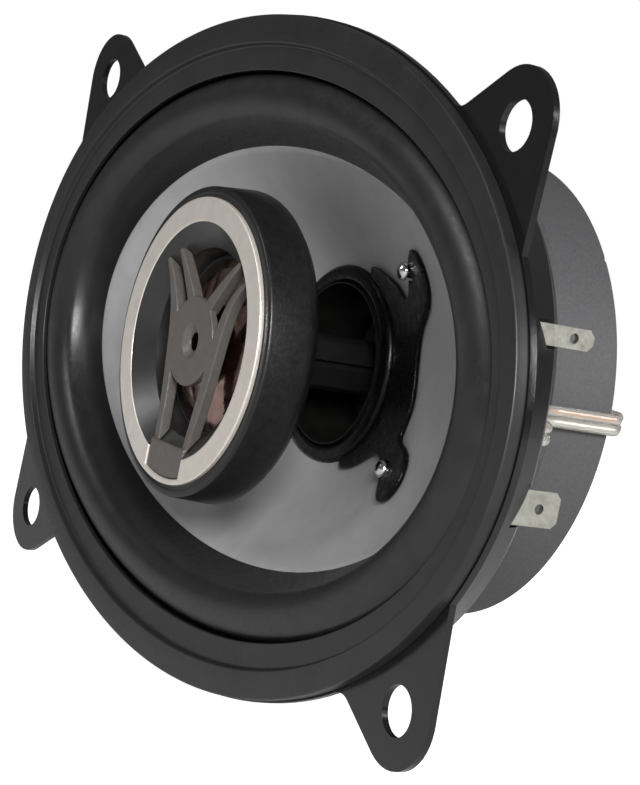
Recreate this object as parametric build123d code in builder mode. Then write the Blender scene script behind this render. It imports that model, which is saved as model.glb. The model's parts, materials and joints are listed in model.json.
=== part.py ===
from build123d import *
import os
from math import cos, pi, radians, sin, tan

# Coaxial car speaker of the 4 x 6 inch oval class.
# Frame, in millimetres: the speaker's axis is Y and its front faces -Y. X is the long axis of the
# oval and Z the short one. The origin is the centre of the mounting plane, the rear of the flange.

# Flange, ears and gasket
SHEET = 1.0  # pressed steel of the basket
FLANGE_A = 77.5  # half length along X
FLANGE_B = 51.6  # half height along Z
FLANGE_IN_A = 74.2
FLANGE_IN_B = 46.9
EAR_X = 62.66  # mounting holes, from the axis
EAR_Z = 38.82
EAR_R = 7.9
EAR_HOLE_R = 3.5
GASKET_A = 77.2
GASKET_B = 51.3
GASKET_STEP_A = 74.0  # the outer, prouder band of the gasket ends here
GASKET_STEP_B = 46.9
GASKET_IN_A = 70.6
GASKET_IN_B = 42.8
GASKET_T = 2.0
GASKET_STEP = 1.0

# Basket: a shallow oval tub, then a taper to a round cup that holds the spider
LANDING_Y = 0.7  # front of the recessed landing that holds the surround
TUB_TOP_A = 73.6
TUB_TOP_B = 46.2
TUB_A = 69.5
TUB_B = 45.2
TUB_Y = 9.0  # rear edge of the tub
TUB_POWER = 2.3  # squareness of the tub's oval, 2 being an ellipse
TUB_ROUND = 0.9  # bevel round the tub's rear edge
RIM_A = 62.8
RIM_B = 42.9
RIM_POWER = 2.15
LEDGE_R = 41.3
LEDGE_Y = 22.0
CUP_R = 36.5
CUP_Y = 29.0  # rear face of the basket, where the magnet system starts
CUP_HOLE_R = 24.0
VENTS = 5  # bores across the taper, each opening a vent on both sides
VENT_R = 5.2
VENT_Y = 15.5
BASKET_RIVETS = 6
BASKET_RIVET_R = 1.5
BASKET_RIVET_PCD = 60.0

# Moving system of the woofer
ROLL_OUT_A = 70.8
ROLL_OUT_B = 42.7
ROLL_IN_A = 60.9
ROLL_IN_B = 35.3
ROLL_H = 2.5
ROLL_T = 0.6
LIP_T = 0.5
LIP_OUT_A = 73.9
LIP_OUT_B = 46.5
CONE_A = 58.4  # front edge of the cone's bowl
CONE_B = 32.0
CONE_Y = 4.2
CONE_BACK = 1.5  # the rear outline of the cone is this much larger
CONE_MID_A = 36.9
CONE_MID_B = 23.2
CONE_MID_Y = 11.8
NECK_Y = 20.0  # where the bowl meets the voice coil former
FORMER_IN_R = 12.7
FORMER_OUT_R = 12.95
FORMER_Y = (17.0, 35.0)
COIL_R = 13.7
COIL_Y = (27.0, 35.0)
HUB_R = 15.8
HUB_Y = 17.2  # crest of the adhesive ring round the former
SPIDER_OUT_R = 39.0
SPIDER_T = 0.5
SPIDER_WAVES = 5
SPIDER_WAVE_H = 0.9
SPIDER_WAVE_R = (15.2, 35.4)  # the corrugations lie between these radii

# Magnet system
TOP_PLATE_R = 34.0
TOP_PLATE_T = 4.0
GAP_R = 14.4
MAGNET_R = 37.7
MAGNET_IN_R = 20.0
MAGNET_END_Y = 44.3
YOKE_R = 33.0
YOKE_T = 4.0
POLE_R = 12.3
BORE_R = 3.4

# Tweeter on its post
POST_R = 4.4
POST_FLAT = 3.9  # from the axis to each flat of the post
POST_BORE_R = 2.4
STUD_R = 3.2  # threaded end of the post, in the floor of the pod
STUD_Y = 2.3
SPIGOT_END_Y = 47.8
NUT_ACROSS = 9.0  # across flats
NUT_T = 1.8
POD_R = 24.4
POD_LIP_R = 23.8
POD_Y = -1.2  # widest edge of the pod, towards the rear
POD_FRONT_Y = -8.4
POD_WALL = 1.5
POD_FLOOR_Y = 6.0  # rear of the boss that stands on the post
POD_BOSS_R = 7.5
POD_SEAT_Y = -7.38  # step that carries the tweeter's faceplate
TRIM_OUT_R = 22.1
TRIM_IN_R = 18.3
TRIM_Y = -9.1  # front face of the trim ring
NOTCH_X = -0.2  # notch in the inner edge of the trim ring, at the bottom
NOTCH_W = 11.4
NOTCH_R = 21.2
FUNNEL_TOP = (18.28, -9.0)  # radius and height of the faceplate's funnel
FUNNEL_NECK = (14.7, -6.5)
FACE_FLOOR_Y = -3.2  # floor of the faceplate, under the diaphragm
DOME_R = 11.8
DOME_Y = -4.4  # edge of the dome
DOME_H = 1.9
SKIRT_R = 13.3  # the diaphragm flares out to this radius
SKIRT_Y = -3.8
TWEETER_CUP_R = 8.4
TWEETER_COIL = (5.95, 6.85)  # inner and outer radius
GRILLE_HUB_R = 6.9
GRILLE_Y = -8.45  # front of the grille's centre disc
GRILLE_T = 1.1
GRILLE_HOLE_R = 1.4
GRILLE_SINK_R = 2.6
RAIL_D = 1.7
RAILS = (  # X, Z and width along each rail: two that pass the centre disc, two that end on it
    ((-12.4, 11.4, 0.8), (-9.2, 7.4, 1.7), (-7.2, 3.4, 2.3), (-6.1, -2.2, 2.2), (-5.3, -9.5, 1.8), (-4.9, -19.0, 1.4)),
    ((14.0, 10.8, 0.8), (9.6, 5.8, 1.7), (8.0, 0.8, 2.3), (6.9, -6.0, 2.1), (5.6, -12.0, 1.8), (4.2, -19.0, 1.4)),
    ((-8.8, 13.2, 0.8), (-5.4, 9.8, 1.5), (-1.8, 5.6, 2.2)),
    ((11.3, 13.5, 0.8), (7.3, 9.9, 1.5), (3.4, 5.6, 2.2)),
)

# Terminals
BLADE_X = 68.5
BLADE_T = 0.8
BLADE_TIP_Y = 13.6
SMALL_BLADE = (13.45, 2.8)  # Z of its centre, and its width
LARGE_BLADE = (-9.2, 4.8)
BLADE_HOLE_R = 0.7
BLADE_HOLE_Y = 10.4
FOOT_Y = 3.4
FOOT_X = 62.3
BLOCK_X = (62.2, 65.2)
BLOCK_Z = (-12.6, 15.4)
BLOCK_Y = (4.22, 7.98)
RIVET_R = 0.8
RIVET_HEAD_R = 1.2
RIVET_X = 63.5
PEG_R = 0.9
PEG_X = 64.0
PEG_Z = (-3.6, 7.6)

# Tweeter lead: two conductors in one clear jacket, from the terminals to the bore of the magnet
LEAD_Z = 0.3
LEAD_PITCH = 1.6
JACKET_R = 0.85
JACKET_BORE_R = 0.42
CORE_R = 0.4
LEAD_ROUTE = (  # X and Y of its points
    (66.3, 5.6),
    (66.3, 11.6),
    (54.0, 16.0),
    (44.8, 22.2),
    (38.62, 30.0),
    (38.62, 45.3),
    (34.6, 45.5),
    (33.7, 49.3),
    (13.5, 49.4),
    (7.4, 52.2),
    (1.6, 51.6),
    (-0.5, 45.8),
    (0.3, 30.0),
    (-0.2, 2.6),
)
BARE_Y = 3.8  # where the bare conductors turn to the terminals' feet
BARE_BEND_R = 1.5

# Woofer's leads: X, Y and Z of their eyelets on the cone, and the rest of each route
EYELET_R = 1.4
EYELET_STEM_R = 0.9
WOOFER_LEAD_R = 0.35
UPPER_LEAD = (
    (27.0, 12.9, 17.0),
    (27.0, 18.2, 17.0),
    (36.0, 17.6, 16.2),
    (48.0, 12.6, 15.2),
    (57.0, 7.4, 14.2),
    (59.8, 3.8, 13.45),
    (62.28, 3.8, 13.45),
)
LOWER_LEAD = (
    (28.4, 15.0, -12.0),
    (28.4, 19.6, -12.0),
    (38.5, 17.2, -11.6),
    (49.5, 12.4, -10.8),
    (57.6, 7.4, -9.8),
    (59.8, 3.8, -9.2),
    (62.28, 3.8, -9.2),
)
ADHESIVE = (  # X and Z round the pour that holds the leads, with a horn at each eyelet
    (6.0, 14.0),
    (8.0, 16.2),
    (13.0, 16.0),
    (19.0, 14.5),
    (24.0, 13.0),
    (26.0, 15.8),
    (31.0, 20.4),
    (34.5, 17.5),
    (35.2, 14.0),
    (30.0, 8.5),
    (29.0, 3.0),
    (30.0, -3.5),
    (29.4, -6.6),
    (34.5, -8.2),
    (37.3, -11.5),
    (36.0, -15.0),
    (32.5, -16.2),
    (26.0, -12.0),
    (21.5, -10.8),
    (14.0, -14.0),
    (8.0, -14.6),
    (5.0, -8.0),
    (5.0, 8.0),
)
ADHESIVE_T = 0.9
GAP = 0.02  # between faces of different pieces that touch


def at(y):
    """The sketch plane across the axis at height y: local x is X and local y is Z."""
    return Plane.XZ.offset(-y)


def oval(half_x, half_z, power=2.0, count=48):
    """A face bounded by a superellipse, drawn as one closed spline."""
    points = []
    for i in range(count):
        c = cos(2 * pi * i / count)
        s = sin(2 * pi * i / count)
        r = (abs(c) ** power + abs(s) ** power) ** (-1 / power)
        points.append((half_x * r * c, half_z * r * s))
    with BuildSketch(Plane.XY, mode=Mode.PRIVATE) as outline:
        with BuildLine():
            Spline(*points, periodic=True)
        make_face()
    return outline.sketch


def turned(*profile):
    """A closed profile of (radius, y) points, turned about the axis into a solid."""
    with BuildPart(mode=Mode.PRIVATE) as piece:
        with BuildSketch(Plane.XY):
            with BuildLine():
                Polyline(*profile, close=True)
            make_face()
        revolve(axis=Axis.Y)
    return piece.part


def ruled(*sections):
    """A solid through oval sections, each given as (y, half_x, half_z, power)."""
    with BuildPart(mode=Mode.PRIVATE) as piece:
        for y, half_x, half_z, power in sections:
            with BuildSketch(at(y)):
                add(oval(half_x, half_z, power))
        loft(ruled=True)
    return piece.part


def ring(outer_r, inner_r, front, rear):
    """A plain round ring between two heights on the axis."""
    return turned((inner_r, front), (outer_r, front), (outer_r, rear), (inner_r, rear))


def save(piece, name):
    """Label a finished piece and write its STEP file."""
    piece.part.label = name
    export_step(piece.part, f"parts/{name}.step")


os.makedirs("parts", exist_ok=True)
RIVET_PLANE = at(CUP_Y)  # the joint between the basket and the top plate

# ---------------------------------------------------------------- basket
EARS = [(sx * EAR_X, sz * EAR_Z) for sx in (-1, 1) for sz in (-1, 1)]


def ear(sx, sz):
    """One ear: a rounded tongue whose two edges run into the flange."""
    with BuildSketch(Plane.XY, mode=Mode.PRIVATE) as tongue:
        with BuildLine():
            Polyline(
                (sx * (EAR_X + EAR_R), sz * EAR_Z),
                (sx * 69.6, sz * 21.5),
                (sx * 42.0, sz * 36.0),
                (sx * (EAR_X - 3.8), sz * (EAR_Z + 6.93)),
                close=True,
            )
        make_face()
        with Locations((sx * EAR_X, sz * EAR_Z)):
            Circle(EAR_R)
    return tongue.sketch


def shell(y_shift, inset, *sections):
    """The loft of the given sections, moved along the axis and shrunk by the sheet's thickness."""
    moved = [(y + y_shift, a - inset, b - inset, power) for y, a, b, power in sections]
    return ruled(*moved)


TUB = (
    (LANDING_Y, TUB_TOP_A, TUB_TOP_B, TUB_POWER),
    (TUB_Y - TUB_ROUND, TUB_A, TUB_B, TUB_POWER),
    (TUB_Y, TUB_A - TUB_ROUND, TUB_B - TUB_ROUND, TUB_POWER),
)
TAPER = (
    (TUB_Y, RIM_A, RIM_B, RIM_POWER),
    (LEDGE_Y + 0.5, LEDGE_R - 1.7, LEDGE_R - 1.7, 2.0),  # ends inside the ledge
)

with BuildPart() as basket:
    # tub, taper, ledge and cup as solid lumps, hollowed afterwards
    add(shell(0, 0, *TUB))
    add(shell(0, 0, *TAPER))
    add(turned((0, LEDGE_Y), (LEDGE_R, LEDGE_Y), (LEDGE_R, LEDGE_Y + 2.4), (0, LEDGE_Y + 2.4)))
    add(turned((0, LEDGE_Y), (CUP_R, LEDGE_Y), (CUP_R, CUP_Y), (0, CUP_Y)))
    with BuildSketch(at(LANDING_Y + SHEET)):
        add(oval(FLANGE_IN_A + SHEET, FLANGE_IN_B + SHEET))
    extrude(amount=LANDING_Y + 2 * SHEET)
    with BuildSketch(at(0)) as flange:
        add(oval(FLANGE_A, FLANGE_B))
        for sx in (-1, 1):
            for sz in (-1, 1):
                add(ear(sx, sz))
        notches = [v for v in flange.vertices() if abs(v.X) < 54 and 36 < abs(v.Y) < 44]
        fillet(notches, radius=3.5)
        with Locations(*EARS):
            Circle(EAR_HOLE_R, mode=Mode.SUBTRACT)
    extrude(amount=SHEET)
    # hollow
    with BuildSketch(at(LANDING_Y)):
        add(oval(FLANGE_IN_A, FLANGE_IN_B))
    extrude(amount=LANDING_Y + 2 * SHEET, mode=Mode.SUBTRACT)
    add(shell(-SHEET, SHEET, *TUB), mode=Mode.SUBTRACT)
    add(shell(-SHEET, SHEET, *TAPER), mode=Mode.SUBTRACT)
    inner_ledge_r = LEDGE_R - 1.8
    inner_cup_r = CUP_R - SHEET
    top = LEDGE_Y - 0.8
    floor = LEDGE_Y + 2.4 - SHEET
    add(turned((0, top), (inner_ledge_r, top), (inner_ledge_r, floor), (0, floor)), mode=Mode.SUBTRACT)
    bottom = CUP_Y - SHEET
    add(turned((0, top), (inner_cup_r, top), (inner_cup_r, bottom), (0, bottom)), mode=Mode.SUBTRACT)
    add(turned((0, top), (CUP_HOLE_R, top), (CUP_HOLE_R, CUP_Y), (0, CUP_Y)), mode=Mode.SUBTRACT)
    # air vents across the taper
    with Locations(*[Location((0, VENT_Y, 0), (0, 180 / VENTS * (i + 0.5), 0)) for i in range(VENTS)]):
        Cylinder(VENT_R, 2 * FLANGE_A, rotation=(0, 90, 0), mode=Mode.SUBTRACT)
    # slots for the terminal blades, the slot for the tweeter's lead, and holes for pegs and rivets
    for z, width in (SMALL_BLADE, LARGE_BLADE):
        with Locations((BLADE_X - 0.175, 6.25, z)):
            Box(BLADE_T + 1.05, 6.5, width + 0.8, mode=Mode.SUBTRACT)
    with Locations((LEAD_ROUTE[0][0], TUB_Y, LEAD_Z)):
        Box(2.4, 4.0, 4.2, mode=Mode.SUBTRACT)
    for z in PEG_Z:
        with Locations((PEG_X, TUB_Y, z)):
            Cylinder(PEG_R + GAP, 4.0, rotation=(90, 0, 0), mode=Mode.SUBTRACT)
    with Locations(RIVET_PLANE):
        with PolarLocations(BASKET_RIVET_PCD / 2, BASKET_RIVETS):
            Cylinder(BASKET_RIVET_R + GAP, 4.0, mode=Mode.SUBTRACT)
save(basket, "basket")

# ---------------------------------------------------------------- gasket and woofer
with BuildPart() as gasket:
    with BuildSketch(at(-SHEET - GAP)):
        add(oval(GASKET_A, GASKET_B))
        add(oval(GASKET_IN_A, GASKET_IN_B), mode=Mode.SUBTRACT)
    extrude(amount=GASKET_T - GAP)
    with BuildSketch(at(-SHEET - GASKET_T)):
        add(oval(GASKET_STEP_A, GASKET_STEP_B))
    extrude(amount=-GASKET_STEP, mode=Mode.SUBTRACT)
save(gasket, "gasket")

ROLL_Y = LANDING_Y - LIP_T  # the plane that the roll stands on


def half_roll(out_a, out_b, in_a, in_b, height):
    """A half roll between two ovals, standing forward of the lip."""
    mid_a = (out_a + in_a) / 2
    mid_b = (out_b + in_b) / 2
    outside = []
    inside = []
    for degrees in (0, 25, 50, 75):
        y = ROLL_Y - height * sin(radians(degrees))
        spread = cos(radians(degrees))
        outside.append((y, mid_a + (out_a - mid_a) * spread, mid_b + (out_b - mid_b) * spread, 2.0))
        inside.append((y, mid_a + (in_a - mid_a) * spread, mid_b + (in_b - mid_b) * spread, 2.0))
    with BuildPart(mode=Mode.PRIVATE) as piece:
        add(ruled(*outside))
        add(ruled(*inside), mode=Mode.SUBTRACT)
    return piece.part


def cone_bowl(shift=0.0, larger=0.0):
    """The space inside the cone, moved along the axis; larger=CONE_BACK gives its rear face."""
    neck = FORMER_OUT_R + 0.15 + larger
    return ruled(
        (CONE_Y + shift, CONE_A + larger, CONE_B + larger, 2.0),
        (CONE_MID_Y + shift, CONE_MID_A + larger, CONE_MID_B + larger, 2.0),
        (NECK_Y + shift, neck, neck, 2.0),
    )


with BuildPart() as surround:
    with BuildSketch(at(LANDING_Y - GAP)):
        add(oval(LIP_OUT_A, LIP_OUT_B))
    extrude(amount=LIP_T - GAP)
    with BuildSketch(at(LANDING_Y)):
        add(oval(ROLL_OUT_A - ROLL_T, ROLL_OUT_B - ROLL_T))
    extrude(amount=LIP_T, mode=Mode.SUBTRACT)
    add(half_roll(ROLL_OUT_A, ROLL_OUT_B, ROLL_IN_A, ROLL_IN_B, ROLL_H))
    hollow_out = (ROLL_OUT_A - ROLL_T, ROLL_OUT_B - ROLL_T)
    hollow_in = (ROLL_IN_A + ROLL_T, ROLL_IN_B + ROLL_T)
    add(half_roll(*hollow_out, *hollow_in, ROLL_H - ROLL_T), mode=Mode.SUBTRACT)
    foot_y = CONE_Y - GAP
    add(ruled((ROLL_Y, *hollow_in, 2.0), (foot_y, CONE_A + CONE_BACK, CONE_B + CONE_BACK, 2.0)))
    add(ruled((ROLL_Y, ROLL_IN_A, ROLL_IN_B, 2.0), (foot_y, CONE_A, CONE_B, 2.0)), mode=Mode.SUBTRACT)
save(surround, "surround")

EYELET_SPOTS = [(lead[0][0], lead[0][2]) for lead in (UPPER_LEAD, LOWER_LEAD)]

with BuildPart() as cone:
    add(cone_bowl(larger=CONE_BACK))
    add(ring(FORMER_OUT_R + CONE_BACK, 0, NECK_Y - 1, NECK_Y + 1))
    add(cone_bowl(), mode=Mode.SUBTRACT)
    add(ring(FORMER_OUT_R + GAP, 0, 0, NECK_Y + 1), mode=Mode.SUBTRACT)
    with Locations(Plane.XZ):
        with Locations(*EYELET_SPOTS):
            Cylinder(EYELET_STEM_R + GAP, 60, mode=Mode.SUBTRACT)
save(cone, "cone")

with BuildPart() as hub_ring:
    inner_r = FORMER_OUT_R + GAP
    add(
        turned(
            (inner_r, HUB_Y + 0.4),
            (inner_r + 0.8, HUB_Y),
            (HUB_R - 0.7, HUB_Y),
            (HUB_R, HUB_Y + 0.5),
            (HUB_R, NECK_Y - 0.4),
            (inner_r, NECK_Y - 0.4),
        )
    )
    add(cone_bowl(shift=-GAP), mode=Mode.INTERSECT)
save(hub_ring, "hub_ring")

with BuildPart() as lead_adhesive:
    with BuildSketch(at(NECK_Y)):
        with BuildLine():
            Spline(*ADHESIVE, periodic=True)
        make_face()
    extrude(amount=14)
    add(cone_bowl(shift=-GAP), mode=Mode.INTERSECT)
    add(cone_bowl(shift=-ADHESIVE_T), mode=Mode.SUBTRACT)
    add(ring(HUB_R + GAP, 0, 0, NECK_Y), mode=Mode.SUBTRACT)
    with Locations(Plane.XZ):
        with Locations(*EYELET_SPOTS):
            Cylinder(EYELET_R + GAP, 60, mode=Mode.SUBTRACT)
save(lead_adhesive, "lead_adhesive")

with BuildPart() as lead_eyelets:
    for lead in (UPPER_LEAD, LOWER_LEAD):
        x, end_y, z = lead[0]
        with BuildSketch(at(end_y - GAP)):
            with Locations((x, z)):
                Circle(EYELET_STEM_R)
        extrude(amount=4)
        with BuildSketch(at(end_y - 3.3)):
            with Locations((x, z)):
                Circle(EYELET_R)
        extrude(amount=1)
save(lead_eyelets, "lead_eyelets")


def arcs(route):
    """Corner radii for a route: each arc is as large as its two runs allow."""
    points = [Vector(*point) for point in route]
    radii = []
    for before, corner, after in zip(points, points[1:], points[2:]):
        shorter = min((corner - before).length, (after - corner).length)
        turn = radians((corner - before).get_angle(after - corner))
        radii.append(0.45 * shorter / tan(turn / 2))
    return radii


def wire(route, radius):
    """A round wire along a route of straight runs joined by arcs."""
    start = Vector(*route[0])
    with BuildPart(mode=Mode.PRIVATE) as piece:
        with BuildLine() as path:
            FilletPolyline(*route, radius=arcs(route))
        with BuildSketch(Plane(origin=start, z_dir=Vector(*route[1]) - start)):
            Circle(radius)
        sweep(path=path.line)
    return piece.part


for name, route in (("upper_woofer_lead", UPPER_LEAD), ("lower_woofer_lead", LOWER_LEAD)):
    with BuildPart() as woofer_lead:
        add(wire(route, WOOFER_LEAD_R))
    save(woofer_lead, name)

with BuildPart() as voice_coil_former:
    add(ring(FORMER_OUT_R, FORMER_IN_R, *FORMER_Y))
save(voice_coil_former, "voice_coil_former")

with BuildPart() as voice_coil:
    add(ring(COIL_R, FORMER_OUT_R + GAP, *COIL_Y))
save(voice_coil, "voice_coil")

with BuildPart() as spider:
    rim_y = LEDGE_Y + 2.4 - SHEET - GAP  # the spider's rim lies on the floor of the ledge
    front = [(FORMER_OUT_R + GAP, rim_y - SPIDER_T)]
    steps = SPIDER_WAVES * 8
    for i in range(steps + 1):
        r = SPIDER_WAVE_R[0] + (SPIDER_WAVE_R[1] - SPIDER_WAVE_R[0]) * i / steps
        front.append((r, rim_y - SPIDER_T + SPIDER_WAVE_H * sin(2 * pi * i / 8)))
    front.append((SPIDER_OUT_R, rim_y - SPIDER_T))
    rear = [(r, y + SPIDER_T) for r, y in reversed(front)]
    add(turned(*front, *rear))
save(spider, "spider")

# ---------------------------------------------------------------- magnet system
with BuildPart() as top_plate:
    add(ring(TOP_PLATE_R, GAP_R, CUP_Y + GAP, CUP_Y + TOP_PLATE_T))
    chamfer(top_plate.edges().filter_by(GeomType.CIRCLE).group_by(SortBy.RADIUS)[-1], length=0.4)
    with Locations(RIVET_PLANE):
        with PolarLocations(BASKET_RIVET_PCD / 2, BASKET_RIVETS):
            Cylinder(BASKET_RIVET_R + GAP, 4.0, mode=Mode.SUBTRACT)
save(top_plate, "top_plate")

with BuildPart() as basket_rivets:
    with Locations(RIVET_PLANE):
        with PolarLocations(BASKET_RIVET_PCD / 2, BASKET_RIVETS):
            Cylinder(BASKET_RIVET_R, 2 * SHEET + 2 * GAP)
            with Locations((0, 0, SHEET + GAP + 0.5)):
                Cylinder(2.6, 1.0)
save(basket_rivets, "basket_rivets")

MAGNET_Y = CUP_Y + TOP_PLATE_T + GAP
with BuildPart() as magnet:
    add(ring(MAGNET_R, MAGNET_IN_R, MAGNET_Y, MAGNET_END_Y))
    chamfer(magnet.edges().filter_by(GeomType.CIRCLE).group_by(SortBy.RADIUS)[-1], length=0.5)
    # a chip on the rear edge
    with Locations((29.2, MAGNET_END_Y + 0.6, 24.9)):
        Sphere(1.5, mode=Mode.SUBTRACT)
save(magnet, "magnet")

with BuildPart() as yoke:
    front = MAGNET_END_Y + GAP
    rear = front + YOKE_T
    add(
        turned(
            (BORE_R, CUP_Y),
            (POLE_R - 0.5, CUP_Y),
            (POLE_R, CUP_Y + 0.5),
            (POLE_R, front),
            (YOKE_R, front),
            (YOKE_R, rear - 0.8),
            (YOKE_R - 0.8, rear),
            (BORE_R, rear),
        )
    )
save(yoke, "yoke")

# ---------------------------------------------------------------- tweeter
with BuildPart() as tweeter_post:
    shoulder_y = POD_FLOOR_Y + GAP
    add(
        turned(
            (POST_BORE_R, STUD_Y),
            (STUD_R - 0.02, STUD_Y),
            (STUD_R - 0.02, shoulder_y),
            (POST_R, shoulder_y),
            (POST_R, CUP_Y - GAP),
            (BORE_R - 0.02, CUP_Y - GAP),
            (BORE_R - 0.02, SPIGOT_END_Y),
            (POST_BORE_R, SPIGOT_END_Y),
        )
    )
    # two flats on the post, with a slot between them
    with BuildSketch(at(CUP_Y - 3)):
        for turn in (25, -25):
            with Locations(Location((0, 0, 0), (0, 0, turn))):
                with Locations((POST_FLAT + 1, 0)):
                    Rectangle(2, 6)
    extrude(amount=CUP_Y - 3 - POD_FLOOR_Y - 3, mode=Mode.SUBTRACT)
    with Locations(((POST_R + POST_BORE_R) / 2 + 0.6, (CUP_Y + POD_FLOOR_Y) / 2, 0)):
        Box(2.0, 12.0, 1.2, mode=Mode.SUBTRACT)
save(tweeter_post, "tweeter_post")

with BuildPart() as tweeter_pod:
    wall_r = POD_LIP_R - 0.88  # the faceplate sits inside this radius
    add(
        turned(
            (POD_LIP_R, POD_FRONT_Y),
            (POD_R, POD_Y),
            (POD_R - 1.9, 0.6),
            (9.0, 4.0),
            (POD_BOSS_R, POD_FLOOR_Y),
            (STUD_R, POD_FLOOR_Y),
            (STUD_R, POD_FLOOR_Y - POD_WALL),
            (POD_BOSS_R - 1.4, POD_FLOOR_Y - POD_WALL),
            (8.2, 2.5),
            (20.6, -0.9),
            (POD_R - 2.5, -1.8),
            (wall_r - 1.0, POD_SEAT_Y),
            (wall_r, POD_SEAT_Y),
            (wall_r, POD_FRONT_Y),
        )
    )
save(tweeter_pod, "tweeter_pod")

with BuildPart() as post_nut:
    with BuildSketch(at(POD_FLOOR_Y - POD_WALL - GAP)):
        RegularPolygon(NUT_ACROSS / 2, 6, major_radius=False)
        Circle(STUD_R, mode=Mode.SUBTRACT)
    extrude(amount=NUT_T)
save(post_nut, "post_nut")

FLANGE_Y = POD_SEAT_Y - 0.9  # front of the faceplate's outer flange


def notch(inset=0.0):
    """The notch in the trim ring, or the tab that lies in it with some room around."""
    with BuildSketch(Plane.XY, mode=Mode.PRIVATE) as outline:
        Circle(NOTCH_R - inset)
        with Locations((NOTCH_X, -19.5)):
            Rectangle(NOTCH_W - 2 * inset, 7.0, mode=Mode.INTERSECT)
    return outline.sketch


with BuildPart() as tweeter_faceplate:
    add(
        turned(
            FUNNEL_TOP,
            FUNNEL_NECK,
            (14.2, FACE_FLOOR_Y),
            (TWEETER_CUP_R + GAP, FACE_FLOOR_Y),
            (TWEETER_CUP_R + GAP, FACE_FLOOR_Y + 1.0),
            (15.2, FACE_FLOOR_Y + 1.0),
            (15.7, -6.2),
            (18.2, POD_SEAT_Y - GAP),
            (POD_LIP_R - 0.9, POD_SEAT_Y - GAP),
            (POD_LIP_R - 0.9, FLANGE_Y),
            (FUNNEL_TOP[0], FLANGE_Y),
        )
    )
    with BuildSketch(at(FLANGE_Y)):
        add(notch())
    extrude(amount=2, mode=Mode.SUBTRACT)
save(tweeter_faceplate, "tweeter_faceplate")

with BuildPart() as trim_ring:
    trim_rear = FLANGE_Y - GAP
    add(ring(TRIM_OUT_R, TRIM_IN_R, TRIM_Y, trim_rear))
    with BuildSketch(at(trim_rear)):
        add(notch())
    extrude(amount=2, mode=Mode.SUBTRACT)
save(trim_ring, "trim_ring")


def rail(stations):
    """A curved band through (x, z, width) stations."""
    centres = [Vector(x, z) for x, z, width in stations]
    left = []
    right = []
    for i, (x, z, width) in enumerate(stations):
        along = centres[min(i + 1, len(centres) - 1)] - centres[max(i - 1, 0)]
        across = Vector(-along.Y, along.X).normalized() * (width / 2)
        left.append(centres[i] + across)
        right.append(centres[i] - across)
    with BuildSketch(Plane.XY, mode=Mode.PRIVATE) as band:
        with BuildLine():
            Spline(*left)
            Spline(*right)
            Line(left[0], right[0])
            Line(left[-1], right[-1])
        make_face()
    return band.sketch


with BuildPart() as tweeter_grille:
    with BuildSketch(at(GRILLE_Y + RAIL_D)):
        for stations in RAILS:
            add(rail(stations))
    extrude(amount=RAIL_D)
    add(turned((0, -8.6), (17.6, -8.6), (14.9, -6.7), (0, -6.7)), mode=Mode.INTERSECT)
    with BuildSketch(at(GRILLE_Y + GRILLE_T)):
        Circle(GRILLE_HUB_R)
    extrude(amount=GRILLE_T)
    # the foot of the two lower rails, a tab that lies in the notch of the trim ring
    with BuildSketch(at(trim_rear)):
        add(notch(inset=0.15))
    extrude(amount=0.6)
    with BuildSketch(at(GRILLE_Y)):
        Circle(GRILLE_HOLE_R)
    extrude(amount=-GRILLE_T, mode=Mode.SUBTRACT)
    add(
        turned((0, GRILLE_Y), (GRILLE_SINK_R, GRILLE_Y), (GRILLE_HOLE_R, GRILLE_Y + 0.8), (0, GRILLE_Y + 0.8)),
        mode=Mode.SUBTRACT,
    )
save(tweeter_grille, "tweeter_grille")

with BuildPart() as tweeter_diaphragm:
    front = []
    for i in range(9):
        r = DOME_R * i / 8
        front.append((r, DOME_Y - DOME_H * (1 - (i / 8) ** 2)))
    front.append((SKIRT_R, SKIRT_Y))
    rear = [(r, y + 0.2) for r, y in reversed(front)]
    add(turned(*front, *rear))
save(tweeter_diaphragm, "tweeter_diaphragm")

with BuildPart() as tweeter_surround:
    add(ring(14.1, SKIRT_R - 0.4, SKIRT_Y + 0.24, FACE_FLOOR_Y - GAP))
save(tweeter_surround, "tweeter_surround")

with BuildPart() as tweeter_coil:
    add(ring(TWEETER_COIL[1], TWEETER_COIL[0], -5.4, -1.6))
save(tweeter_coil, "tweeter_coil")

with BuildPart() as tweeter_top_washer:
    add(ring(5.6, 0, -3.6, -2.62))
save(tweeter_top_washer, "tweeter_top_washer")

with BuildPart() as tweeter_magnet:
    add(ring(5.4, 0, -2.6, -0.92))
save(tweeter_magnet, "tweeter_magnet")

with BuildPart() as tweeter_cup:
    add(ring(TWEETER_CUP_R, 0, -3.6, 0.1))
    add(ring(TWEETER_CUP_R - 1.2, 0, -4.0, -0.9), mode=Mode.SUBTRACT)
save(tweeter_cup, "tweeter_cup")

with BuildPart() as crossover_capacitor:
    with Locations((-18.3, -3.4, 0)):
        Cylinder(2.3, 9.0)
    chamfer(crossover_capacitor.edges().filter_by(GeomType.CIRCLE), length=0.4)
save(crossover_capacitor, "crossover_capacitor")

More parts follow.
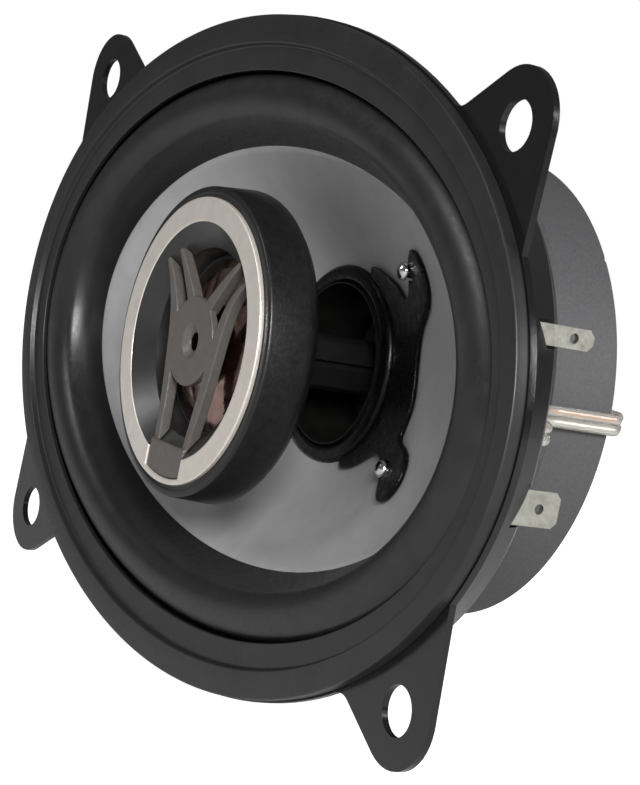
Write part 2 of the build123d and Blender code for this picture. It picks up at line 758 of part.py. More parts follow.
# ---------------------------------------------------------------- terminals and the tweeter's lead
with BuildPart() as terminal_block:
    depth = BLOCK_Y[1] - BLOCK_Y[0]
    middle = (BLOCK_Y[0] + BLOCK_Y[1]) / 2
    with Locations(((BLOCK_X[0] + BLOCK_X[1]) / 2, middle, (BLOCK_Z[0] + BLOCK_Z[1]) / 2)):
        Box(BLOCK_X[1] - BLOCK_X[0], depth, BLOCK_Z[1] - BLOCK_Z[0])
    for z in PEG_Z:
        with BuildSketch(at(BLOCK_Y[1])):
            with Locations((PEG_X, z)):
                Circle(PEG_R)
        extrude(amount=-1.6)
        with BuildSketch(at(TUB_Y + GAP)):
            with Locations((PEG_X, z)):
                Circle(1.1)
        extrude(amount=-0.6)
    for z, width in (SMALL_BLADE, LARGE_BLADE):
        with Locations((RIVET_X, middle, z)):
            Cylinder(RIVET_R + GAP, 2 * depth, rotation=(90, 0, 0), mode=Mode.SUBTRACT)
save(terminal_block, "terminal_block")


def terminal(z, width):
    """A blade with a foot bent inwards over the block."""
    outer_x = BLADE_X + BLADE_T / 2
    inner_x = BLADE_X - BLADE_T / 2
    with BuildPart(mode=Mode.PRIVATE) as piece:
        with BuildSketch(Plane.XY.offset(z - width / 2)):
            with BuildLine():
                Polyline(
                    (FOOT_X, FOOT_Y),
                    (outer_x, FOOT_Y),
                    (outer_x, BLADE_TIP_Y),
                    (inner_x, BLADE_TIP_Y),
                    (inner_x, FOOT_Y + BLADE_T),
                    (FOOT_X, FOOT_Y + BLADE_T),
                    close=True,
                )
            make_face()
        extrude(amount=width)
        fillet(piece.edges().filter_by(Axis.Z).sort_by(Axis.Y)[:2].sort_by(Axis.X)[-1], radius=0.6)
        chamfer(piece.edges().filter_by(Axis.X).sort_by(Axis.Y)[-2:], length=0.8)
        with Locations((BLADE_X, BLADE_HOLE_Y, z)):
            Cylinder(BLADE_HOLE_R, 4, rotation=(0, 90, 0), mode=Mode.SUBTRACT)
        with Locations((RIVET_X, FOOT_Y, z)):
            Cylinder(RIVET_R + GAP, 4, rotation=(90, 0, 0), mode=Mode.SUBTRACT)
    return piece.part


with BuildPart() as small_terminal:
    add(terminal(*SMALL_BLADE))
save(small_terminal, "small_terminal")

with BuildPart() as large_terminal:
    add(terminal(*LARGE_BLADE))
save(large_terminal, "large_terminal")

with BuildPart() as terminal_rivets:
    for z, width in (SMALL_BLADE, LARGE_BLADE):
        with BuildSketch(at(BLOCK_Y[1] - 0.4)):
            with Locations((RIVET_X, z)):
                Circle(RIVET_R)
        extrude(amount=BLOCK_Y[1] - 0.4 - FOOT_Y + GAP)
        with BuildSketch(at(FOOT_Y - GAP)):
            with Locations((RIVET_X, z)):
                Circle(RIVET_HEAD_R)
        extrude(amount=0.4)
save(terminal_rivets, "terminal_rivets")

LEAD_POINTS = [(x, y, LEAD_Z) for x, y in LEAD_ROUTE]

with BuildPart() as lead_jacket:
    with BuildLine() as lead_path:
        FilletPolyline(*LEAD_POINTS, radius=arcs(LEAD_POINTS))
    with BuildSketch(Plane(origin=LEAD_POINTS[0], x_dir=(0, 0, 1), z_dir=(0, 1, 0))):
        with Locations((-LEAD_PITCH / 2, 0), (LEAD_PITCH / 2, 0)):
            Circle(JACKET_R)
            Circle(JACKET_BORE_R, mode=Mode.SUBTRACT)
    sweep(path=lead_path.line)
save(lead_jacket, "lead_jacket")

CONDUCTORS = (
    ("copper_conductor", LEAD_Z + LEAD_PITCH / 2, SMALL_BLADE[0] - SMALL_BLADE[1] / 2 - GAP),
    ("silver_conductor", LEAD_Z - LEAD_PITCH / 2, LARGE_BLADE[0] + LARGE_BLADE[1] / 2 + GAP),
)
for name, z, foot_z in CONDUCTORS:
    jacketed = [(x, y, z) for x, y in LEAD_ROUTE]
    start_x = jacketed[0][0]
    route = [(start_x, BARE_Y, foot_z), (start_x, BARE_Y, z), *jacketed[1:]]
    with BuildPart() as conductor:
        with BuildLine() as core_path:
            FilletPolyline(*route, radius=[BARE_BEND_R, *arcs(jacketed)])
        with BuildSketch(Plane(origin=route[0], z_dir=(0, 0, z - foot_z))):
            Circle(CORE_R)
        sweep(path=core_path.line)
    save(conductor, name)
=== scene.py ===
import json
from math import cos, pi, radians, sin

import bmesh
import bpy
from mathutils import Matrix, Vector
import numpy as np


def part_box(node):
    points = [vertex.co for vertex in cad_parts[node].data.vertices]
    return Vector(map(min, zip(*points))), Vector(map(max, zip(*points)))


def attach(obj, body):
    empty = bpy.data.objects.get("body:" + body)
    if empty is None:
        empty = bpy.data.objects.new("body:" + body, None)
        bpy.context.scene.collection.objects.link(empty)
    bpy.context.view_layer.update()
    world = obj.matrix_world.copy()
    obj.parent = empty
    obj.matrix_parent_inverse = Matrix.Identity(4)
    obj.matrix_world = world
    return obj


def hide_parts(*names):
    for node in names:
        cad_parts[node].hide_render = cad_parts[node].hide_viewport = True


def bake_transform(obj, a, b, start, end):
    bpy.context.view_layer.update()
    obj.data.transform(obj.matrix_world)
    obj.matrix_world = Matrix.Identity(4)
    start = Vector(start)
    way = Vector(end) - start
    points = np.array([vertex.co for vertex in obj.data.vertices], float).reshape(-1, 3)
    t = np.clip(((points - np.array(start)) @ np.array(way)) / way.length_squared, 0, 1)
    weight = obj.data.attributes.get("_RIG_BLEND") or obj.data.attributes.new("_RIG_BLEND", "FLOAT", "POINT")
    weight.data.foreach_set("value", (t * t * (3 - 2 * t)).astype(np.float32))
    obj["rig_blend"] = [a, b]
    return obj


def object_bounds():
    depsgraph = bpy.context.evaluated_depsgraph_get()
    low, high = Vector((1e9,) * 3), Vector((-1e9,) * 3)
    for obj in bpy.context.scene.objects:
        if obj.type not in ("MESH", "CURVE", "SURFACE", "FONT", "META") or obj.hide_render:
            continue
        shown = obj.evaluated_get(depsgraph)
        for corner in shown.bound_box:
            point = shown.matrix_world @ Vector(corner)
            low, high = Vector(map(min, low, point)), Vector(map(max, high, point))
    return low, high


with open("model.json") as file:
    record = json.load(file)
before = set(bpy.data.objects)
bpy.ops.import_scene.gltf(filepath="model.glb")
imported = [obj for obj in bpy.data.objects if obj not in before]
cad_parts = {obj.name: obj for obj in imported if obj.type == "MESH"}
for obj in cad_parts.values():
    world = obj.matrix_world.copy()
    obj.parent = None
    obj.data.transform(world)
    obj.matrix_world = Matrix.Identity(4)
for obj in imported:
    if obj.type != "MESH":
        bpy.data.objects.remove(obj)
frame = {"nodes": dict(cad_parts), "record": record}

CAD_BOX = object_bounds()
MM = 0.001
ROUND = 256  # segments round an oval or round piece
MOUTH = Vector((0, 0, 0))  # what the front lamps point at
TERMINAL_END = Vector((0.05, 0.02, 0))
MAGNET_END = Vector((0.03, 0.02, 0))


# ---------------------------------------------------------------- camera, floor and light
CAMERA_PLACE = Vector((0.2946, -0.16235, 0.02375))
CAMERA_RIGHT = Vector((0.4939, 0.8478, 0.1931))
CAMERA_UP = Vector((-0.1716, -0.1226, 0.9775))
CAMERA_BACK = Vector((0.8524, -0.5159, 0.0849))
CAMERA_LENS = 100.3
CAMERA_SHIFT = (0.0013, 0.0054)


def add_camera():
    """A long lens at the speaker's front right, slightly above its axis."""
    data = bpy.data.cameras.new("camera")
    data.sensor_width = 36
    data.lens = CAMERA_LENS
    data.shift_x, data.shift_y = CAMERA_SHIFT
    data.clip_start = 0.01
    camera = bpy.data.objects.new("camera", data)
    turn = Matrix((CAMERA_RIGHT, CAMERA_UP, CAMERA_BACK)).transposed().to_4x4()
    camera.matrix_world = Matrix.Translation(CAMERA_PLACE) @ turn
    bpy.context.scene.collection.objects.link(camera)
    bpy.context.scene.camera = camera


def add_area(name, place, target, size, power, size_y=None):
    """A soft rectangular lamp that points at a target."""
    data = bpy.data.lights.new(name, "AREA")
    data.shape = "RECTANGLE"
    data.size = size
    data.size_y = size_y or size
    data.energy = power
    lamp = bpy.data.objects.new(name, data)
    lamp.location = place
    lamp.rotation_euler = (Vector(target) - Vector(place)).to_track_quat("-Z", "Y").to_euler()
    bpy.context.scene.collection.objects.link(lamp)


FLOOR_HALF = 4.0  # metres from the middle of the floor to its edges
FLOOR_COLOR = (0.6, 0.6, 0.6, 1)
FLOOR_GLOW = (0.1, 0.95)  # towards the speaker, and towards the camera
SKY = (0.12, 1.0)  # what lights the speaker, and what shows behind it


def for_camera(tree, others, camera):
    """A value that is different for the rays that come straight from the camera."""
    node = tree.nodes.new("ShaderNodeMapRange")
    node.inputs["To Min"].default_value = others
    node.inputs["To Max"].default_value = camera
    path = tree.nodes.new("ShaderNodeLightPath")
    tree.links.new(path.outputs["Is Camera Ray"], node.inputs["Value"])
    return node.outputs["Result"]


def add_stage():
    """A pale floor and a pale sky, both nearly white to the camera and dim as lamps."""
    floor_z = CAD_BOX[0][2]
    mesh = bpy.data.meshes.new("floor")
    form = bmesh.new()
    signs = ((-1, -1), (1, -1), (1, 1), (-1, 1))
    form.faces.new([form.verts.new((x * FLOOR_HALF, y * FLOOR_HALF, floor_z)) for x, y in signs])
    form.to_mesh(mesh)
    form.free()
    floor = bpy.data.objects.new("floor", mesh)
    bpy.context.scene.collection.objects.link(floor)
    material = bpy.data.materials.new("floor_paper")
    material.use_nodes = True
    shader = material.node_tree.nodes["Principled BSDF"]
    shader.inputs["Base Color"].default_value = FLOOR_COLOR
    shader.inputs["Roughness"].default_value = 0.9
    shader.inputs["Specular IOR Level"].default_value = 0.1
    shader.inputs["Emission Color"].default_value = (1, 1, 1, 1)
    glow = for_camera(material.node_tree, *FLOOR_GLOW)
    material.node_tree.links.new(glow, shader.inputs["Emission Strength"])
    mesh.materials.append(material)
    world = bpy.data.worlds.new("studio")
    world.use_nodes = True
    background = world.node_tree.nodes["Background"]
    background.inputs["Color"].default_value = (1, 1, 1, 1)
    strength = for_camera(world.node_tree, *SKY)
    world.node_tree.links.new(strength, background.inputs["Strength"])
    bpy.context.scene.world = world
    bpy.context.scene.view_settings.view_transform = "Standard"


def add_lamps():
    """A key from the right, a weaker lamp from the left, a tall narrow one for edges, and a rim light."""
    add_area("key", (0.85, -0.42, 0.36), MOUTH, 0.3, 16.0)
    add_area("front", (-0.3, -0.8, 0.45), MOUTH, 0.25, 2.0)
    add_area("window", (0.75, -0.02, 0.22), TERMINAL_END, 0.12, 1.6, size_y=0.5)
    add_area("rear_rim", (0.55, 0.6, 0.3), MAGNET_END, 0.3, 2.2)


# ---------------------------------------------------------------- materials
class Surface:
    """A Principled material with a few procedural layers."""

    def __init__(self, name, color, roughness, metallic=0.0, specular=0.5):
        self.material = bpy.data.materials.new(name)
        self.material.use_nodes = True
        self.tree = self.material.node_tree
        self.shader = self.tree.nodes["Principled BSDF"]
        self.shader.inputs["Base Color"].default_value = (*color, 1)
        self.shader.inputs["Roughness"].default_value = roughness
        self.shader.inputs["Metallic"].default_value = metallic
        self.shader.inputs["Specular IOR Level"].default_value = specular
        self.color = color
        self.roughness = roughness
        self.place = self.tree.nodes.new("ShaderNodeTexCoord").outputs["Object"]
        self.last_bump = None

    def noise(self, per_mm, detail=4.0, stretch=(1, 1, 1)):
        """A noise value with about per_mm features in each millimetre."""
        mapping = self.tree.nodes.new("ShaderNodeMapping")
        mapping.inputs["Scale"].default_value = stretch
        self.tree.links.new(self.place, mapping.inputs["Vector"])
        node = self.tree.nodes.new("ShaderNodeTexNoise")
        node.inputs["Scale"].default_value = per_mm * 1000
        node.inputs["Detail"].default_value = detail
        self.tree.links.new(mapping.outputs["Vector"], node.inputs["Vector"])
        return node.outputs["Fac"]

    def ramp(self, value, low, high):
        """Spread a value between two numbers."""
        node = self.tree.nodes.new("ShaderNodeMapRange")
        node.inputs["From Min"].default_value = 0.3
        node.inputs["From Max"].default_value = 0.7
        node.inputs["To Min"].default_value = low
        node.inputs["To Max"].default_value = high
        self.tree.links.new(value, node.inputs["Value"])
        return node.outputs["Result"]

    def mottle(self, value, amount):
        """Vary the colour by a share of itself."""
        node = self.tree.nodes.new("ShaderNodeMix")
        node.data_type = "RGBA"
        dark = [c * (1 - amount) for c in self.color]
        light = [min(1.0, c * (1 + amount) + amount * 0.01) for c in self.color]
        node.inputs[6].default_value = (*dark, 1)
        node.inputs[7].default_value = (*light, 1)
        self.tree.links.new(self.ramp(value, 0, 1), node.inputs[0])
        self.tree.links.new(node.outputs[2], self.shader.inputs["Base Color"])
        return self

    def uneven(self, value, amount):
        """Vary the roughness."""
        low = max(0.02, self.roughness - amount)
        self.tree.links.new(self.ramp(value, low, self.roughness + amount), self.shader.inputs["Roughness"])
        return self

    def bump(self, value, height_mm):
        """Add relief of about this height."""
        node = self.tree.nodes.new("ShaderNodeBump")
        node.inputs["Distance"].default_value = height_mm * MM
        self.tree.links.new(value, node.inputs["Height"])
        if self.last_bump:
            self.tree.links.new(self.last_bump, node.inputs["Normal"])
        self.last_bump = node.outputs["Normal"]
        self.tree.links.new(self.last_bump, self.shader.inputs["Normal"])
        return self


def make_materials():
    """One material for each slot of the record."""
    made = {}

    def keep(slot, surface):
        made[slot] = surface.material

    paint = Surface("black_paint", (0.005, 0.005, 0.0055), 0.2, specular=0.45)
    paint.uneven(paint.noise(0.4), 0.06).bump(paint.noise(2.0), 0.012)
    keep("black_paint", paint)

    gasket = Surface("gasket_plastic", (0.010, 0.010, 0.0105), 0.4, specular=0.4)
    gasket.mottle(gasket.noise(0.15), 0.12).uneven(gasket.noise(1.2), 0.05).bump(gasket.noise(6.0), 0.012)
    keep("gasket_plastic", gasket)

    surround = Surface("surround_cloth", (0.007, 0.007, 0.0075), 0.38, specular=0.45)
    surround.mottle(surround.noise(0.3), 0.2).uneven(surround.noise(1.5), 0.07)
    surround.bump(surround.noise(5.0), 0.02)
    keep("surround_foam", surround)

    cone = Surface("cone_poly", (0.25, 0.25, 0.253), 0.34, specular=0.5)
    cone.mottle(cone.noise(0.25, detail=8.0), 0.06).uneven(cone.noise(3.0), 0.06)
    cone.bump(cone.noise(4.0), 0.01)
    keep("cone_poly", cone)

    glue = Surface("black_glue", (0.002, 0.002, 0.002), 0.3, specular=0.14)
    glue.uneven(glue.noise(0.6), 0.1).bump(glue.noise(0.4), 0.05)
    keep("black_glue", glue)

    chrome = Surface("bright_metal", (0.6, 0.6, 0.6), 0.2, metallic=1.0)
    chrome.uneven(chrome.noise(1.0), 0.05).bump(chrome.noise(0.8), 0.015)
    keep("bright_metal", chrome)

    braid = Surface("braid", (0.55, 0.53, 0.5), 0.4, metallic=1.0)
    braid.mottle(braid.noise(3.0), 0.25).bump(braid.noise(4.0), 0.08)
    keep("braid", braid)

    # Near-black former film: partly the former's own dark colour, partly painted shade for the deep, unlit
    # inside of the neck round the post.
    film = Surface("former_film", (0.004, 0.0038, 0.0035), 0.4, specular=0.12)
    film.mottle(film.noise(0.4), 0.15).uneven(film.noise(1.0), 0.08)
    keep("former_film", film)

    copper = Surface("copper_wire", (0.70, 0.32, 0.15), 0.3, metallic=1.0)
    copper.mottle(copper.noise(2.5), 0.2).bump(copper.noise(3.0, stretch=(0.2, 1, 1)), 0.03)
    keep("copper_wire", copper)

    spider = Surface("spider_cloth", (0.42, 0.27, 0.11), 0.8)
    spider.mottle(spider.noise(1.2), 0.2).bump(spider.noise(3.0), 0.08)
    keep("spider_cloth", spider)

    zinc = Surface("zinc_steel", (0.52, 0.52, 0.50), 0.34, metallic=1.0)
    zinc.mottle(zinc.noise(0.2), 0.12).uneven(zinc.noise(0.8), 0.1).bump(zinc.noise(2.0), 0.02)
    keep("zinc_steel", zinc)

    ferrite = Surface("ferrite", (0.05, 0.05, 0.052), 0.58, specular=0.4)
    ferrite.mottle(ferrite.noise(2.5, detail=8.0), 0.14).uneven(ferrite.noise(1.5), 0.06)
    ferrite.bump(ferrite.noise(3.0, detail=8.0), 0.015)
    keep("ferrite", ferrite)

    post = Surface("post_plastic", (0.006, 0.006, 0.006), 0.34, specular=0.2)
    post.uneven(post.noise(0.5), 0.08).bump(post.noise(3.0), 0.02)
    keep("post_plastic", post)

    pod = Surface("pod_plastic", (0.006, 0.006, 0.0065), 0.34, specular=0.35)
    pod.mottle(pod.noise(0.8), 0.15).uneven(pod.noise(1.5), 0.06).bump(pod.noise(4.0), 0.02)
    keep("pod_plastic", pod)

    face = Surface("face_plastic", (0.012, 0.012, 0.012), 0.33, specular=0.5)
    face.mottle(face.noise(0.5), 0.08).uneven(face.noise(0.3), 0.03).bump(face.noise(3.0), 0.01)
    keep("face_plastic", face)

    trim = Surface("trim_metal", (0.66, 0.61, 0.56), 0.34, metallic=0.6)
    trim.mottle(trim.noise(0.6), 0.05).uneven(trim.noise(2.0), 0.06).bump(trim.noise(6.0), 0.008)
    keep("trim_metal", trim)

    grille = Surface("grille_paint", (0.085, 0.078, 0.072), 0.42, metallic=0.2)
    grille.mottle(grille.noise(1.0), 0.1).uneven(grille.noise(2.0), 0.07).bump(grille.noise(5.0), 0.012)
    keep("grille_plastic", grille)

    dome = Surface("copper_film", (0.33, 0.215, 0.185), 0.16, metallic=1.0)
    dome.mottle(dome.noise(0.6), 0.2).uneven(dome.noise(0.9), 0.1).bump(dome.noise(0.5), 0.05)
    keep("copper_film", dome)

    rubber = Surface("black_rubber", (0.015, 0.015, 0.015), 0.55)
    rubber.mottle(rubber.noise(1.0), 0.2).bump(rubber.noise(3.0), 0.02)
    keep("black_rubber", rubber)

    sleeve = Surface("capacitor_sleeve", (0.04, 0.05, 0.16), 0.3)
    sleeve.mottle(sleeve.noise(0.7), 0.1).bump(sleeve.noise(1.0), 0.02)
    keep("capacitor_sleeve", sleeve)

    board = Surface("board", (0.20, 0.10, 0.04), 0.5)
    board.mottle(board.noise(0.8, stretch=(1, 1, 0.2)), 0.25).bump(board.noise(2.0), 0.03)
    keep("board", board)

    tin = Surface("tinned_brass", (0.34, 0.34, 0.30), 0.42, metallic=0.9)
    tin.mottle(tin.noise(0.5), 0.12).uneven(tin.noise(1.5), 0.1)
    tin.bump(tin.noise(3.0, stretch=(1, 0.2, 1)), 0.012)
    keep("tinned_brass", tin)

    jacket = Surface("clear_jacket", (0.86, 0.84, 0.78), 0.16)
    jacket.shader.inputs["Transmission Weight"].default_value = 0.85
    jacket.shader.inputs["IOR"].default_value = 1.5
    jacket.uneven(jacket.noise(0.5), 0.06).bump(jacket.noise(0.4), 0.03)
    keep("clear_jacket", jacket)

    silver = Surface("silver_wire", (0.72, 0.72, 0.70), 0.28, metallic=1.0)
    silver.mottle(silver.noise(2.5), 0.15).bump(silver.noise(3.0, stretch=(0.2, 1, 1)), 0.03)
    keep("silver_wire", silver)
    return made


MATERIALS = make_materials()
SLOT_OF = {part["node"]: part["material_slot"] for part in frame["record"]["subparts"]}


def dress(obj, node):
    """Give a piece or a CAD node the material of that node's slot."""
    obj.data.materials.clear()
    obj.data.materials.append(MATERIALS[SLOT_OF[node]])


# ---------------------------------------------------------------- mesh helpers
def rounded(profile, radii, steps=5):
    """Round the corners of a closed profile; radii is one number or one for each corner."""
    points = [Vector(p) for p in profile]
    count = len(points)
    if not isinstance(radii, (list, tuple)):
        radii = [radii] * count
    result = []
    for i, corner in enumerate(points):
        before = points[i - 1] - corner
        after = points[(i + 1) % count] - corner
        reach = min(radii[i], 0.45 * before.length, 0.45 * after.length)
        if reach <= 0:
            result.append(corner)
            continue
        start = corner + before.normalized() * reach
        end = corner + after.normalized() * reach
        for k in range(steps + 1):
            t = k / steps
            result.append((1 - t) ** 2 * start + 2 * t * (1 - t) * corner + t * t * end)
    return result


def link_mesh(name, form, node, body):
    """Turn a bmesh into a smooth piece that stands for a CAD node; body is None for one that bends."""
    bmesh.ops.recalc_face_normals(form, faces=form.faces)
    mesh = bpy.data.meshes.new(name)
    form.to_mesh(mesh)
    form.free()
    for polygon in mesh.polygons:
        polygon.use_smooth = True
    piece = bpy.data.objects.new(name, mesh)
    bpy.context.scene.collection.objects.link(piece)
    dress(piece, node)
    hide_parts(node)
    if body:
        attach(piece, body)
    return piece


def oval_piece(name, profile, node, body, segments=ROUND):
    """A closed profile of (half_x, half_z, y) in millimetres, carried round the axis."""
    form = bmesh.new()
    rings = []
    for k in range(segments):
        c = cos(2 * pi * k / segments)
        s = sin(2 * pi * k / segments)
        rings.append([form.verts.new((a * c * MM, y * MM, b * s * MM)) for a, b, y in profile])
    count = len(profile)
    for k in range(segments):
        here = rings[k]
        there = rings[(k + 1) % segments]
        for j in range(count):
            form.faces.new((here[j], here[(j + 1) % count], there[(j + 1) % count], there[j]))
    return link_mesh(name, form, node, body)


def round_piece(name, profile, node, body, radii=0.0, segments=ROUND):
    """A closed profile of (radius, y) in millimetres, its corners rounded, turned about the axis."""
    shape = rounded(profile, radii)
    return oval_piece(name, [(r, r, y) for r, y in shape], node, body, segments)


def copy_of(node, name, remesh_mm=0.0, smooth_steps=0):
    """A copy of a CAD node's mesh, which remeshing and smoothing give soft edges."""
    piece = bpy.data.objects.new(name, frame["nodes"][node].data.copy())
    bpy.context.scene.collection.objects.link(piece)
    form = bmesh.new()
    form.from_mesh(piece.data)
    bmesh.ops.remove_doubles(form, verts=form.verts, dist=1e-6)
    bmesh.ops.dissolve_limit(form, angle_limit=radians(1), verts=form.verts, edges=form.edges)
    bmesh.ops.triangulate(form, faces=form.faces)
    form.to_mesh(piece.data)
    form.free()
    if remesh_mm:
        remesh = piece.modifiers.new("remesh", "REMESH")
        remesh.mode = "VOXEL"
        remesh.voxel_size = remesh_mm * MM
    if smooth_steps:
        smooth = piece.modifiers.new("smooth", "SMOOTH")
        smooth.factor = 0.5
        smooth.iterations = smooth_steps
    apply_modifiers(piece)
    for polygon in piece.data.polygons:
        polygon.use_smooth = True
    dress(piece, node)
    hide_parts(node)
    return piece


def apply_modifiers(piece):
    """Replace a piece's mesh by the result of its modifiers."""
    graph = bpy.context.evaluated_depsgraph_get()
    mesh = bpy.data.meshes.new_from_object(piece.evaluated_get(graph))
    piece.modifiers.clear()
    piece.data = mesh


def flex(piece, body, weight):
    """Make a piece bend between the frame and a body; weight gives a point's share of the stroke."""
    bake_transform(piece, "root", body, start=(0, 0, 0), end=(0.1, 0, 0))
    values = piece.data.attributes["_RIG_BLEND"].data
    for vertex, value in zip(piece.data.vertices, values):
        value.value = weight(vertex.co)


def radius_of(point):
    """A point's distance from the axis, in millimetres."""
    return Vector((point.x, point.z)).length / MM


def smoothstep(t):
    """0 below 0, 1 above 1, and smooth between."""
    t = max(0.0, min(1.0, t))
    return t * t * (3 - 2 * t)


# ---------------------------------------------------------------- the pieces
# Half sizes, radii and heights on the axis, in millimetres. The front of the speaker faces -Y.
GASKET = (  # half_x, half_z, y and corner radius round its section
    (77.2, 51.3, -1.03, 0.15),
    (77.2, 51.3, -3.0, 0.45),
    (74.0, 46.9, -3.0, 0.35),
    (73.7, 46.6, -2.0, 0.3),
    (70.6, 42.8, -1.9, 0.3),
    (70.7, 42.9, -1.03, 0.1),
)
LIP_OUT = (73.8, 46.4)
LIP_Y = 0.2  # front of the surround's lip, where the roll starts
LIP_REAR_Y = 0.65
ROLL_OUT = (70.8, 42.7)
ROLL_IN = (60.9, 35.3)
ROLL_H = 2.5
ROLL_T = 0.55
ROLL_STEPS = 14
FOOT_Y = 4.1  # where the surround meets the cone
CONE_STATIONS = ((4.2, 58.4, 32.0), (11.8, 36.9, 23.2), (20.0, 13.1, 13.1))  # y, half_x, half_z
CONE_STEPS = 20
CONE_BACK = 1.45  # the rear of the cone is this much larger
FORMER_R = 12.98
NECK_Y = (20.2, 21.0)
SPIDER_Y = 23.1
SPIDER_R = (13.0, 39.0)
SPIDER_T = 0.4
WAVES = 5
WAVE_STEPS = 16  # for each wave
WAVE_H = 0.9
WAVE_R = (15.2, 20.2)  # where the waves start, and how far they run
POD = (  # radius, y and corner radius round its section
    (22.35, -7.4, 0.0),
    (22.35, -8.3, 0.1),
    (22.75, -8.3, 0.1),
    (22.9, -8.42, 0.1),
    (23.85, -8.4, 0.9),
    (24.4, -1.2, 1.4),
    (22.6, 0.6, 0.6),
    (9.0, 4.0, 0.8),
    (7.5, 6.0, 0.6),
    (3.3, 6.0, 0.0),
    (3.3, 4.5, 0.0),
    (6.1, 4.5, 0.0),
    (8.2, 2.5, 0.0),
    (20.6, -0.9, 0.0),
    (21.9, -1.8, 0.0),
    (21.9, -7.4, 0.0),
)
BEAD = (  # radius and y of the adhesive round the former
    (FORMER_R, 17.9),
    (13.6, 17.15),
    (15.3, 17.2),
    (15.9, 17.9),
    (15.7, 19.3),
    (FORMER_R, 19.8),
)
EYELET_R = 1.4
EYELET_STEM_R = 0.9
EYELET_DOME = 1.1  # height of its dome
EYELET_STEM_Y = (1.35, 3.9)  # its stem's ends, behind the dome's top
EYELET_STEP = 2.1  # how far the lower eyelet lies behind the upper one
EYELET_SIDES = 40
LEADS_FROM_X = 26.0  # the woofer's leads leave the cone here
LEADS_RUN = 32.0
EDGE_BEND_R = (13.4, 13.7)  # the thin edge of the tweeter's diaphragm bends between these radii
EDGE_R = (12.95, 14.08)
EDGE_FRONT_Y = -3.55
EDGE_REAR_Y = -3.48
EDGE_FOOT_Y = -3.23


def oval_share(point, inner, outer):
    """0 at the inner oval and 1 at the outer one, found by halving the range between them."""
    low, high = 0.0, 1.0
    for _ in range(14):
        middle = (low + high) / 2
        a = (inner[0] + (outer[0] - inner[0]) * middle) * MM
        b = (inner[1] + (outer[1] - inner[1]) * middle) * MM
        if (point.x / a) ** 2 + (point.z / b) ** 2 > 1:
            low = middle
        else:
            high = middle
    return low


def make_surround():
    """The half roll of coated cloth, its outer lip and its foot on the cone."""

    def roll(rise, inset):
        points = []
        for k in range(ROLL_STEPS + 1):
            angle = pi * k / ROLL_STEPS
            share = 0.5 + (0.5 - inset) * cos(angle)
            half_x = ROLL_IN[0] + (ROLL_OUT[0] - ROLL_IN[0]) * share
            half_z = ROLL_IN[1] + (ROLL_OUT[1] - ROLL_IN[1]) * share
            points.append((half_x, half_z, LIP_Y - rise * sin(angle)))
        return points

    _, cone_x, cone_z = CONE_STATIONS[0]
    foot = (cone_x + 0.1, cone_z + 0.1, FOOT_Y)
    foot_out = (cone_x + 1.3, cone_z + 1.3, FOOT_Y)
    front = [(*LIP_OUT, LIP_Y + 0.05), *roll(ROLL_H, 0.0), foot]
    rear = [(*LIP_OUT, LIP_REAR_Y), (ROLL_OUT[0] - 0.5, ROLL_OUT[1] - 0.5, LIP_REAR_Y)]
    rear += [*roll(ROLL_H - ROLL_T, 0.06), foot_out]
    surround = oval_piece("surround_cloth", front + rear[::-1], "surround", None)
    flex(surround, "woofer", lambda p: 1 - smoothstep(oval_share(p, ROLL_IN, ROLL_OUT)))


def make_cone():
    """The cone as one smooth shell between its oval edge and its round neck."""

    def section(y):
        """Half sizes of the parabola through the three stations."""
        half_x = 0.0
        half_z = 0.0
        for station in CONE_STATIONS:
            share = 1.0
            for other in CONE_STATIONS:
                if other is not station:
                    share *= (y - other[0]) / (station[0] - other[0])
            half_x += share * station[1]
            half_z += share * station[2]
        return half_x, half_z

    start = CONE_STATIONS[0][0]
    end = CONE_STATIONS[-1][0]
    front = []
    for k in range(CONE_STEPS + 1):
        y = start + (end - start) * k / CONE_STEPS
        front.append((*section(y), y))
    neck_out = FORMER_R + 1.32
    neck = [
        (FORMER_R, FORMER_R, NECK_Y[0]),
        (FORMER_R, FORMER_R, NECK_Y[1]),
        (neck_out, neck_out, NECK_Y[1]),
    ]
    rear = [(a + CONE_BACK, b + CONE_BACK, y) for a, b, y in front[:-1]]
    oval_piece("cone_shell", front + neck + rear[::-1], "cone", "woofer")


def make_gasket():
    """The moulded gasket with its two bands."""
    shape = rounded([corner[:3] for corner in GASKET], [corner[3] for corner in GASKET])
    oval_piece("gasket_moulding", [tuple(p) for p in shape], "gasket", "root", segments=320)


def make_spider():
    """The corrugated cloth disc that centres the voice coil."""
    steps = WAVES * WAVE_STEPS
    line = [(SPIDER_R[0], SPIDER_Y)]
    for k in range(steps + 1):
        r = WAVE_R[0] + WAVE_R[1] * k / steps
        line.append((r, SPIDER_Y + WAVE_H * sin(2 * pi * WAVES * k / steps)))
    line.append((SPIDER_R[1], SPIDER_Y))
    front = [(r, r, y - SPIDER_T / 2) for r, y in line]
    rear = [(r, r, y + SPIDER_T / 2) for r, y in line]
    spider = oval_piece("spider_disc", front + rear[::-1], "spider", None, segments=128)
    flex(spider, "woofer", lambda p: 1 - smoothstep((radius_of(p) - 15.0) / 20.0))


def make_pod():
    """The tweeter's housing, with the rounded lip round its front."""
    radii = [corner[2] for corner in POD]
    round_piece("pod_shell", [corner[:2] for corner in POD], "tweeter_pod", "root", radii)


def make_hub():
    """The bead of black adhesive between the cone's neck and the former."""
    round_piece("hub_bead", BEAD, "hub_ring", "woofer", 0.5, segments=160)


def make_adhesive():
    """The poured black adhesive that holds the leads to the cone."""
    pour = copy_of("lead_adhesive", "lead_pour", remesh_mm=0.22, smooth_steps=12)
    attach(pour, "woofer")


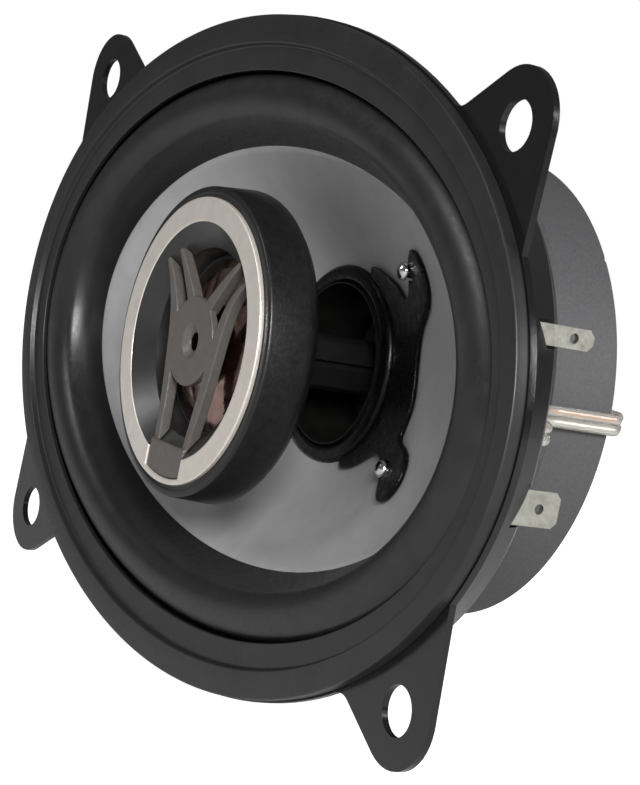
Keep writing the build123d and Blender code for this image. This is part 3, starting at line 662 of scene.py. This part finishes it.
def make_eyelet(name, x, front, z):
    """One bright bead, a dome on its stem; x, front and z place the top of the dome."""
    line = [(0.0, 0.0)]
    for k in range(1, 9):
        angle = pi / 2 * k / 8
        line.append((EYELET_R * sin(angle), EYELET_DOME * (1 - cos(angle))))
    line += [(EYELET_STEM_R, EYELET_STEM_Y[0]), (EYELET_STEM_R, EYELET_STEM_Y[1]), (0.0, EYELET_STEM_Y[1])]
    form = bmesh.new()
    rings = []
    for r, y in line:
        ring = []
        for k in range(EYELET_SIDES if r else 1):
            angle = 2 * pi * k / EYELET_SIDES
            ring.append(form.verts.new((x + r * MM * cos(angle), front + y * MM, z + r * MM * sin(angle))))
        rings.append(ring)
    for near, far in zip(rings, rings[1:]):
        for k in range(EYELET_SIDES):
            here = (near[k % len(near)], near[(k + 1) % len(near)])
            there = (far[(k + 1) % len(far)], far[k % len(far)])
            form.faces.new(list(dict.fromkeys(here + there)))
    link_mesh(name, form, "lead_eyelets", "woofer")


def make_eyelets():
    """The beads at the ends of the upper and the lower lead, in the corners of their node's box."""
    low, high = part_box("lead_eyelets")
    head = EYELET_R * MM
    make_eyelet("upper_bead", low[0] + head, low[1], high[2] - head)
    make_eyelet("lower_bead", high[0] - head, low[1] + EYELET_STEP * MM, low[2] + head)


def make_leads():
    """The flexible leads behind the cone."""
    for node in ("upper_woofer_lead", "lower_woofer_lead"):
        lead = copy_of(node, node.replace("_lead", "_braid"))
        flex(lead, "woofer", lambda p: 1 - smoothstep((p.x / MM - LEADS_FROM_X) / LEADS_RUN))


def make_tweeter_edge():
    """The thin film that carries the tweeter's diaphragm, and its thicker foot on the faceplate."""
    start, end = EDGE_BEND_R
    middle = (start + end) / 2
    radii = (EDGE_R[0], start, middle, end)
    film = [(r, EDGE_FRONT_Y) for r in (*radii, EDGE_R[1])]
    foot = [(EDGE_R[1], EDGE_FOOT_Y), (end + 0.05, EDGE_FOOT_Y)]
    back = [(r, EDGE_REAR_Y) for r in reversed(radii)]
    edge = round_piece("tweeter_edge", film + foot + back, "tweeter_surround", None)
    flex(edge, "tweeter", lambda p: 1 - smoothstep((radius_of(p) - start) / (end - start)))


def make_tweeter():
    """Softened copies of the moulded pieces round the tweeter."""
    grille = copy_of("tweeter_grille", "grille_moulding", remesh_mm=0.14, smooth_steps=3)
    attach(grille, "root")
    ring = copy_of("trim_ring", "trim_band", remesh_mm=0.12, smooth_steps=2)
    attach(ring, "root")


# ---------------------------------------------------------------- build
add_camera()
add_stage()
add_lamps()
for node_name, node_object in frame["nodes"].items():
    dress(node_object, node_name)
make_surround()
make_cone()
make_gasket()
make_spider()
make_pod()
make_hub()
make_adhesive()
make_eyelets()
make_leads()
make_tweeter_edge()
make_tweeter()
